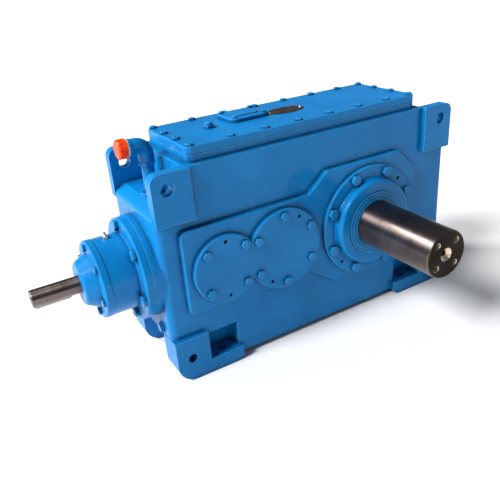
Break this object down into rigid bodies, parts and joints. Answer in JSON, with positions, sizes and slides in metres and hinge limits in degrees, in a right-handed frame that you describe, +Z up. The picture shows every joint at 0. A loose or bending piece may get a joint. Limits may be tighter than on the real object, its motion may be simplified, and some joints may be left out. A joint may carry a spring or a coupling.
{
  "type": "industrial gearbox",
  "caption": "Right-angle bevel gear unit in a cast blue housing with feet, lifting lugs, bolted covers, a long bare output shaft, a keyed input shaft and an oil filler.",
  "frame": {"origin": "centre of the four foundation-bolt holes on the plane the feet stand on", "axes": "+Z up, input shaft end points along -X, output shaft end points along -Y"},
  "size_m": [0.95, 0.484, 0.489],
  "materials": {
    "blue_paint": "semi-gloss",
    "bolt_paint": "semi-gloss",
    "shaft_steel": "machined",
    "gear_steel": "ground",
    "bearing_steel": "polished",
    "key_steel": "machined",
    "zinc_steel": "zinc plated",
    "seal_rubber": "matte",
    "gasket_paper": "matte",
    "bronze_plate": "aged",
    "orange_plastic": "gloss",
    "clear_plastic": "gloss"
  },
  "bodies": {
    "housing": {"bevel_bearing_outer_rings": "bearing_steel", "bevel_cover_bolts": "bolt_paint", "bevel_front_cover": "blue_paint", "bevel_rear_cover": "blue_paint", "breather": "bolt_paint", "cartridge_bolts": "bolt_paint", "drain_plug": "bolt_paint", "end_cover_bolts": "bolt_paint", "filler_elbow": "blue_paint", "filler_pipe": "blue_paint", "filler_pipe_nut": "bolt_paint", "filler_sight_ring": "clear_plastic", "grease_nipple": "zinc_steel", "housing": "blue_paint", "input_bearing_outer_rings": "bearing_steel", "input_cartridge": "blue_paint", "input_end_cover": "blue_paint", "input_seal": "seal_rubber", "inspection_cover": "blue_paint", "inspection_gasket": "gasket_paper", "inspection_screws": "bolt_paint", "intermediate_bearing_outer_rings": "bearing_steel", "intermediate_cover_bolts": "bolt_paint", "intermediate_front_cover": "blue_paint", "intermediate_rear_cover": "blue_paint", "nameplate": "bronze_plate", "nameplate_rivets": "zinc_steel", "output_bearing_outer_rings": "bearing_steel", "output_cover_bolts": "bolt_paint", "output_front_cover": "blue_paint", "output_rear_cover": "blue_paint", "output_seal": "seal_rubber", "top_cover": "blue_paint", "top_cover_bolts": "bolt_paint", "top_cover_gasket": "gasket_paper"},
    "output_shaft": {"output_shaft": "shaft_steel", "output_gear": "gear_steel", "output_gear_key": "key_steel", "output_spacer": "gear_steel", "output_labyrinth_ring": "blue_paint", "output_bearing_inner_rings": "bearing_steel", "output_bearing_rollers": "bearing_steel"},
    "intermediate_shaft": {"intermediate_shaft": "gear_steel", "intermediate_gear": "gear_steel", "intermediate_gear_key": "key_steel", "intermediate_bearing_inner_rings": "bearing_steel", "intermediate_bearing_rollers": "bearing_steel"},
    "bevel_shaft": {"bevel_shaft": "gear_steel", "bevel_gear": "gear_steel", "bevel_gear_key": "key_steel", "bevel_spacer": "gear_steel", "bevel_bearing_inner_rings": "bearing_steel", "bevel_bearing_rollers": "bearing_steel"},
    "input_shaft": {"input_shaft": "shaft_steel", "input_key": "key_steel", "input_spacer": "gear_steel", "input_locknut": "gear_steel", "input_bearing_inner_rings": "bearing_steel", "input_bearing_rollers": "bearing_steel"},
    "filler_cap": {"filler_cap": "orange_plastic"}
  },
  "joints": [
    {"name": "output_spin", "type": "hinge", "parent": "housing", "child": "output_shaft", "pos_m": [0.124, 0, 0.23], "axis": [0, 1, 0], "continuous": true},
    {"name": "intermediate_spin", "type": "hinge", "parent": "housing", "child": "intermediate_shaft", "pos_m": [-0.101, 0, 0.23], "axis": [0, 1, 0], "continuous": true},
    {"name": "bevel_shaft_spin", "type": "hinge", "parent": "housing", "child": "bevel_shaft", "pos_m": [-0.236, 0, 0.23], "axis": [0, 1, 0], "continuous": true},
    {"name": "input_spin", "type": "hinge", "parent": "housing", "child": "input_shaft", "pos_m": [-0.236, 0, 0.23], "axis": [1, 0, 0], "continuous": true},
    {"name": "filler_cap_pull", "type": "slide", "parent": "housing", "child": "filler_cap", "axis": [-1, 0, 0], "range_m": [0, 0.04]}
  ],
  "couplings": [
    {"joint": "intermediate_spin", "follows": "output_spin", "ratio": -3.7368},
    {"joint": "bevel_shaft_spin", "follows": "output_spin", "ratio": 13.964},
    {"joint": "input_spin", "follows": "output_spin", "ratio": 36.905}
  ]
}
